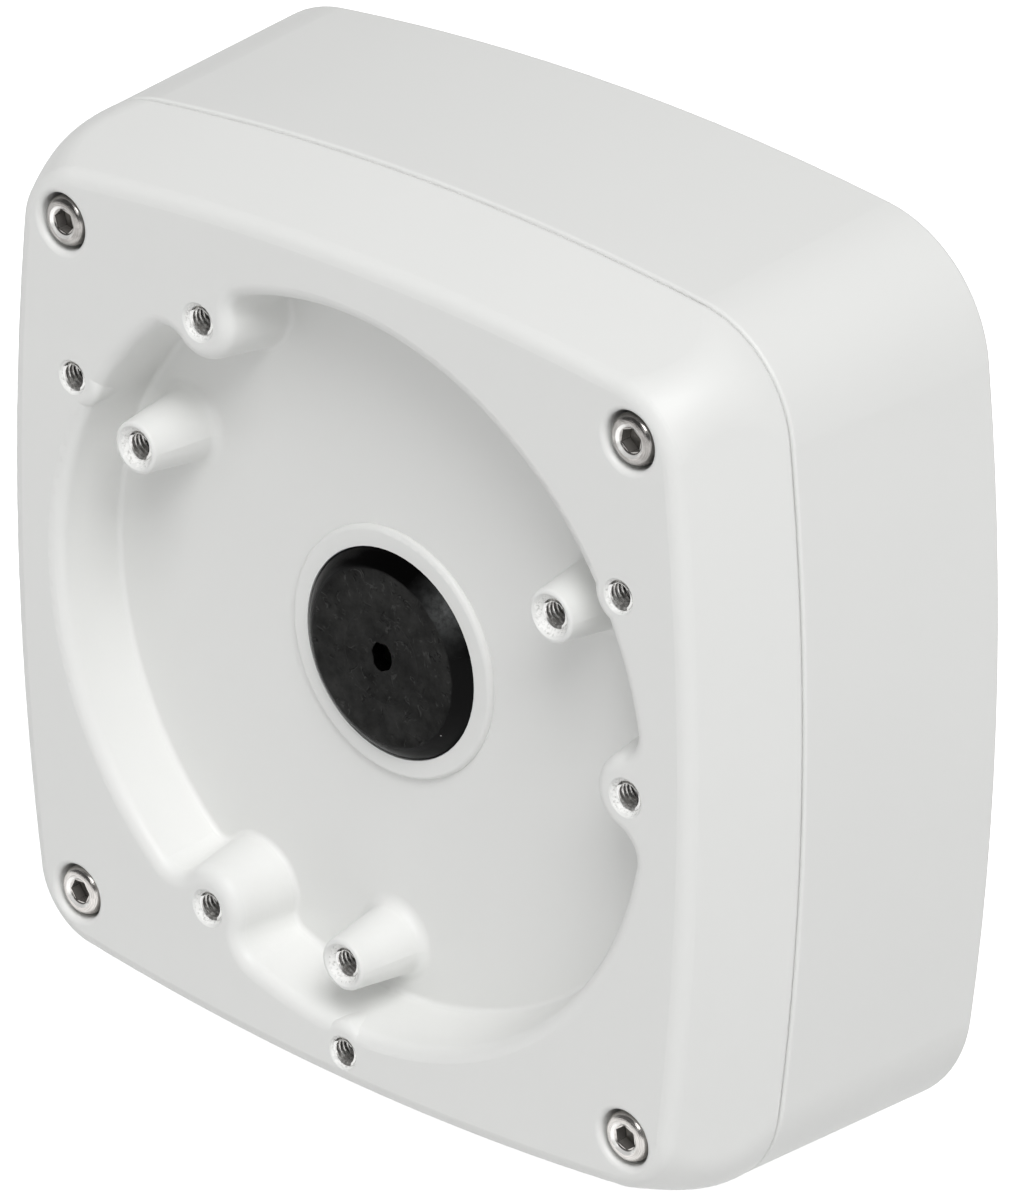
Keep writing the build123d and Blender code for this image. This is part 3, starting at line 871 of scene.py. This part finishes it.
# %% Rubber, and two plugs in place
grain_colour = (0.42, 0.42, 0.41, 1)
cone_roughness, face_roughness = 0.24, 0.66
rubber_specular = 0.06


def rubber_material(name, front):
    """Black rubber: dusty and scuffed on the flat face, cleaner and smoother on the cone round it."""
    material, tree, shader = new_material(name)
    marks = add(tree, "ShaderNodeGroup", node_tree=scuffs)
    place = place_in_mm(tree)
    x, y, z = add(tree, "ShaderNodeSeparateXYZ", {"Vector": place}).outputs
    reach = reach_of(tree, x, z)
    face = face_mask(tree, place, reach, y, front)
    rubber = blend(tree, face, cone_with_painted_highlight(tree, place, x, z), dusty_face_colour(tree, marks))
    rubber = blend(tree, grain_mask(tree, place, reach, z), rubber, grain_colour)
    feed(tree, shader.inputs["Base Color"], rubber)
    roughness = calc(tree, "MULTIPLY_ADD", face, face_roughness - cone_roughness, cone_roughness)
    feed(tree, shader.inputs["Roughness"], roughness)
    shader.inputs["Specular IOR Level"].default_value = rubber_specular
    bump = add(tree, "ShaderNodeBump", {"Height": calc(tree, "MULTIPLY", marks.outputs["Height"], face),
                                        "Distance": MM, "Strength": 1.0})
    feed(tree, shader.inputs["Normal"], bump.outputs["Normal"])
    return material


def corners_of(node):
    """The corners of a CAD node's box, in metres."""
    return [nodes[node].matrix_world @ Vector(corner) for corner in nodes[node].bound_box]


def node_front(node):
    """The foremost level of a CAD node, in millimetres."""
    return min(corner.y for corner in corners_of(node)) / MM


rear_plug = copy_piece(front_plug, "rear_cable_plug")
for plug, node in ((front_plug, "cable_grommet"), (rear_plug, "rear_grommet")):
    front = node_front(node)
    shift_piece(plug, 0, front + face_rise, 0)
    finish_piece(plug, rubber_material(f"{node}_rubber", front), "rubber")
    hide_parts(node)
    print(plug.name, "stands at", round(front, 2), "mm")

# %% [markdown]
# The cover screws start as a turned blank: a cone round the socket, a flat ring, a crowned top and a
# shank. The crown is a list of radius and drop, because its curve is what catches the lamp.

# %% Screw blank, turned
screw_radius = 2.0
screw_steps = 72
head_height = 4.0
head_radius = nodes["cover_screw_1"].dimensions.x / 2 / MM
screw_length = nodes["cover_screw_1"].dimensions.y / MM - head_height
head_foot = 0.15
mouth_radius = 2.2
mouth_depth = 0.42
mouth_slope = 1.3
crown = ((mouth_radius, 0.0), (2.5, 0.03), (2.78, 0.10), (3.0, 0.21), (3.2, 0.39), (3.37, 0.64),
         (head_radius, 1.0))
thread_start = 8.0
thread_runout = 0.4
ridge_height = 0.32
tip_chamfer = 0.5


def head_blank(name):
    """The turned blank: cone round the socket, a crowned top, a round edge and a plain shank."""
    core = screw_radius - ridge_height
    mouth_level = head_height - mouth_depth
    points = [(0, mouth_level), (mouth_radius - mouth_depth * mouth_slope, mouth_level)]
    points += [(radius, head_height - drop) for radius, drop in crown]
    points += [(head_radius, head_foot), (head_radius - head_foot, 0), (screw_radius, 0),
               (screw_radius, -thread_start), (core, -thread_start - thread_runout),
               (core, tip_chamfer - screw_length), (core - tip_chamfer, -screw_length), (0, -screw_length)]
    open_line(name, points)
    return spin_round(bpy.context.object, screw_steps)


first_screw = head_blank("turned_screw")
print("blank of", len(first_screw.data.polygons), "faces, head radius", round(head_radius, 2))

# %% [markdown]
# The socket is forged in with a hexagonal punch. A six-sided cylinder with a short point is cut out
# of the blank with a Boolean, which gives the crisp edges that an inset on a round top would not.

# %% Hexagonal socket
hex_sides = 6
hex_flats = 3.0
hex_depth = 2.2
punch_point = 0.5
punch_spare = 0.01
bottom_facing = 0.9


def hex_punch():
    """A hexagonal prism that stands over the socket, with a point at its bottom."""
    deselect_all()
    corner = hex_flats / 2 / math.cos(math.pi / hex_sides) * MM
    bpy.ops.mesh.primitive_cylinder_add(vertices=hex_sides, radius=corner, depth=hex_depth * MM,
                                        rotation=(math.radians(90), 0, 0))
    punch = bpy.context.object
    bpy.ops.object.transform_apply(location=True, rotation=True, scale=True)
    edit_all(punch)
    bpy.ops.transform.translate(value=(0, -(head_height - hex_depth / 2 + punch_spare) * MM, 0))
    bpy.ops.mesh.select_all(action="DESELECT")
    bpy.ops.object.mode_set(mode="OBJECT")
    for polygon in punch.data.polygons:
        polygon.select = polygon.normal.y > bottom_facing
    bpy.ops.object.mode_set(mode="EDIT")
    bpy.ops.mesh.select_mode(type="FACE")
    bpy.ops.mesh.extrude_region_move(TRANSFORM_OT_translate={"value": (0, punch_point * MM, 0)})
    bpy.ops.mesh.merge(type="CENTER")
    bpy.ops.mesh.select_mode(type="VERT")
    bpy.ops.object.mode_set(mode="OBJECT")
    return punch


punch = hex_punch()
apply_modifier(first_screw, "BOOLEAN", operation="DIFFERENCE", object=punch, solver="EXACT")
bpy.data.objects.remove(punch)
print("socket", hex_flats, "mm across its flats")

# %% [markdown]
# The screw's own thread is a narrow ridge wound round the core by a Screw modifier, as the cut
# threads were. Its two open ends are filled, and it becomes part of the screw.

# %% The screw's own thread
ridge_steps = 36
ridge_from_start, ridge_from_tip = 0.3, 0.6
ridge_sink = 0.02
ridge_clearance = 0.01
crest_half_width = 0.06
ridge_gap = 0.03


def ridge_piece(name):
    """A ridge wound round the screw's core, closed at both ends."""
    top, bottom = -thread_start - ridge_from_start, ridge_from_tip - screw_length
    turns = round((top - bottom) / pitch)
    core = screw_radius - ridge_height - ridge_sink
    crest = screw_radius - ridge_clearance
    low = top - turns * pitch
    ridge = open_line(name, [(core, low - pitch / 2 + ridge_gap), (crest, low - crest_half_width),
                             (crest, low + crest_half_width), (core, low + pitch / 2 - ridge_gap)])
    bpy.ops.mesh.edge_face_add()
    bpy.ops.mesh.delete(type="ONLY_FACE")
    bpy.ops.object.mode_set(mode="OBJECT")
    apply_modifier(ridge, "SCREW", axis="Y", angle=math.tau, screw_offset=-pitch * MM, iterations=turns,
                   steps=ridge_steps, render_steps=ridge_steps)
    edit_all(ridge)
    bpy.ops.mesh.remove_doubles(threshold=seam)
    bpy.ops.mesh.select_all(action="DESELECT")
    bpy.ops.mesh.select_non_manifold()
    bpy.ops.mesh.fill()
    close_seams()
    return ridge


ridge = ridge_piece("ridge")
deselect_all()
ridge.select_set(True)
first_screw.select_set(True)
bpy.context.view_layer.objects.active = first_screw
bpy.ops.object.join()
print("screw of", len(first_screw.data.polygons), "faces")

# %% [markdown]
# The flat ring and the cone of each head carry circular tool marks, far too fine to model. They are
# a noise that depends almost only on the distance from the screw's own axis. All four screws stand
# at the same distance from the middle lines, so one group finds the axis of each by folding the box
# into a quarter.

# %% Turned marks, as a group with named sockets
turned_sizes = {"Half Pitch": 49.0, "Cell": 0.11}
drift_round_the_axis = 1.2
shift_to_the_other_side = 7.0


def turned_group():
    """Circular tool marks round the nearest screw, the distance from its axis, the level and the row."""
    tree, given, out = new_group("turned_marks", turned_sizes, ["Marks", "Reach", "Level", "Upper"])
    place = place_in_mm(tree)
    x, y, z = add(tree, "ShaderNodeSeparateXYZ", {"Vector": place}).outputs
    aside = calc(tree, "SUBTRACT", calc(tree, "ABSOLUTE", x), given["Half Pitch"])
    over = calc(tree, "SUBTRACT", calc(tree, "ABSOLUTE", z), given["Half Pitch"])
    reach = reach_of(tree, aside, over)
    angle = calc(tree, "ARCTAN2", over, aside)
    turned = {"X": calc(tree, "DIVIDE", reach, given["Cell"]),
              "Y": calc(tree, "MULTIPLY", angle, drift_round_the_axis),
              "Z": calc(tree, "MULTIPLY", calc(tree, "SIGN", x), shift_to_the_other_side)}
    turned = add(tree, "ShaderNodeCombineXYZ", turned).outputs[0]
    marks = add(tree, "ShaderNodeTexNoise", {"Vector": turned, "Scale": 1.0, "Detail": 3.0})
    feed(tree, out["Marks"], marks.outputs["Fac"])
    feed(tree, out["Reach"], reach)
    feed(tree, out["Level"], y)
    feed(tree, out["Upper"], calc(tree, "GREATER_THAN", z, 0.0))
    return tree


turned_marks = turned_group()
print("group", turned_marks.name, "with", [item.name for item in turned_marks.interface.items_tree])

# %% [markdown]
# The steel is bright between its tool marks. The upper two heads are painted darker in patches,
# which stands for the darker reflection they show. A pale ring round each socket is a painted
# highlight, and the socket is painted darker inside, most of all at its bottom: painted shade.

# %% Turned steel, and four screws in place
groove_steel = (0.22, 0.21, 0.20, 1)
bright_steel = (0.86, 0.83, 0.80, 1)
darker_reflection_steel = (0.13, 0.125, 0.12, 1)
highlight_ring_steel = (0.93, 0.92, 0.90, 1)
darker_reflection_cell = 1.6
highlight_ring_radius, highlight_ring_width, highlight_ring_softness = 2.02, 0.5, 0.1
socket_radius, socket_softness = 1.78, 0.08
socket_shade_start, socket_shade_fade = 0.46, 0.15
socket_wall_shade = (0.36, 0.345, 0.33, 1)
socket_bottom_shade = (0.2, 0.19, 0.175, 1)
bottom_rise, bottom_fade = 0.3, 0.2
highlight_ring_dulled, socket_shade_dulled = -0.55, -0.3
steel_roughness, mark_roughness = 0.12, 0.2
mark_height = 0.035
screw_numbers = range(1, 5)
degrees_to_next = 17
head_smooth_angle = 30


def screw_material(name):
    """Turned stainless steel, with a painted highlight round a socket of painted shade, and a painted darker
    reflection on the upper heads.
    """
    material, tree, shader = new_material(name)
    turned = add(tree, "ShaderNodeGroup", node_tree=turned_marks)
    marks, reach, level, upper = (turned.outputs[label] for label in ("Marks", "Reach", "Level", "Upper"))
    front = node_front("cover_screw_1")
    steel = blend(tree, marks, groove_steel, bright_steel)
    # Painted darker reflection on the upper two heads, in patches.
    darker_reflection = calc(tree, "MULTIPLY", upper, noise(tree, place_in_mm(tree), darker_reflection_cell, detail=3.0))
    steel = blend(tree, darker_reflection, steel, darker_reflection_steel)
    # Painted shade inside the socket, darker again towards its bottom.
    inward = fade(tree, socket_radius, reach, socket_softness)
    socket_shade = calc(tree, "MULTIPLY", inward, fade(tree, level, front + socket_shade_start, socket_shade_fade))
    # Painted highlight: a pale, less metallic ring round the socket.
    beside = calc(tree, "ABSOLUTE", calc(tree, "SUBTRACT", reach, highlight_ring_radius))
    highlight_ring = fade(tree, highlight_ring_width / 2, beside, highlight_ring_softness)
    highlight_ring = calc(tree, "MULTIPLY", highlight_ring, calc(tree, "SUBTRACT", 1.0, socket_shade))
    steel = blend(tree, highlight_ring, steel, highlight_ring_steel)
    bottom = fade(tree, level, front + hex_depth - bottom_rise, bottom_fade)
    steel = blend(tree, socket_shade, steel, blend(tree, bottom, socket_wall_shade, socket_bottom_shade))
    feed(tree, shader.inputs["Base Color"], steel)
    dulled = calc(tree, "MULTIPLY_ADD", highlight_ring, highlight_ring_dulled, calc(tree, "MULTIPLY", socket_shade, socket_shade_dulled))
    feed(tree, shader.inputs["Metallic"], calc(tree, "ADD", dulled, 1.0))
    roughness = calc(tree, "MULTIPLY_ADD", marks, mark_roughness, steel_roughness)
    feed(tree, shader.inputs["Roughness"], roughness)
    bump = add(tree, "ShaderNodeBump", {"Height": marks, "Distance": mark_height * MM, "Strength": 1.0})
    feed(tree, shader.inputs["Normal"], bump.outputs["Normal"])
    return material


screw_finish = screw_material("turned_steel")
for number in screw_numbers:
    node = f"cover_screw_{number}"
    corners = corners_of(node)
    middle = sum(corners, Vector()) / len(corners) / MM
    screw = copy_piece(first_screw, f"turned_screw_{number}")
    edit_all(screw)
    turn = math.radians(degrees_to_next * number)
    bpy.ops.transform.rotate(value=turn, orient_axis="Y", center_override=(0, 0, 0))
    shift_piece(screw, middle.x, node_front(node) + head_height, middle.z)
    finish_piece(screw, screw_finish, "cover_screw", head_smooth_angle)
    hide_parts(node)
    print(screw.name, "stands at", [round(value, 1) for value in middle])
bpy.data.objects.remove(first_screw)

# %% [markdown]
# The rest is small or hidden in the picture, but shows when the box is opened or turned over: the
# gasket, the washers, the retaining rings, the entry's plug and the earth screw. Their solids are
# good enough as they are, so each only gets a plain finish.

# %% Hidden pieces
plain_cell = 3.0
plain_change = 0.1


def plain_material(name, colour, roughness, metallic=0.0):
    """One even finish with a slight change of tone."""
    material, tree, shader = new_material(name)
    tone = noise(tree, place_in_mm(tree), plain_cell, detail=4.0)
    feed(tree, shader.inputs["Base Color"], blend(tree, tone, *two_tones(colour, plain_change)))
    shader.inputs["Roughness"].default_value = roughness
    shader.inputs["Metallic"].default_value = metallic
    return material


silicone = plain_material("gasket_silicone", (0.055, 0.055, 0.057), 0.6)
washer_finish = plain_material("sealing_washer", (0.06, 0.06, 0.06), 0.5)
ring_rubber = plain_material("ring_rubber", (0.03, 0.03, 0.03), 0.55)
nylon = plain_material("plug_nylon", (0.66, 0.665, 0.65), 0.4)
brass = plain_material("brass", (0.72, 0.52, 0.22), 0.3, 1.0)
finishes = {"cover_gasket": silicone, "plug_seal": silicone, "conduit_plug": nylon,
            "earth_screw": brass, "earth_washer": brass}
for number in screw_numbers:
    finishes[f"screw_seal_{number}"] = washer_finish
    finishes[f"screw_retainer_{number}"] = ring_rubber
for node, finish in finishes.items():
    dress(node, finish)
print("hidden pieces dressed:", len(finishes))
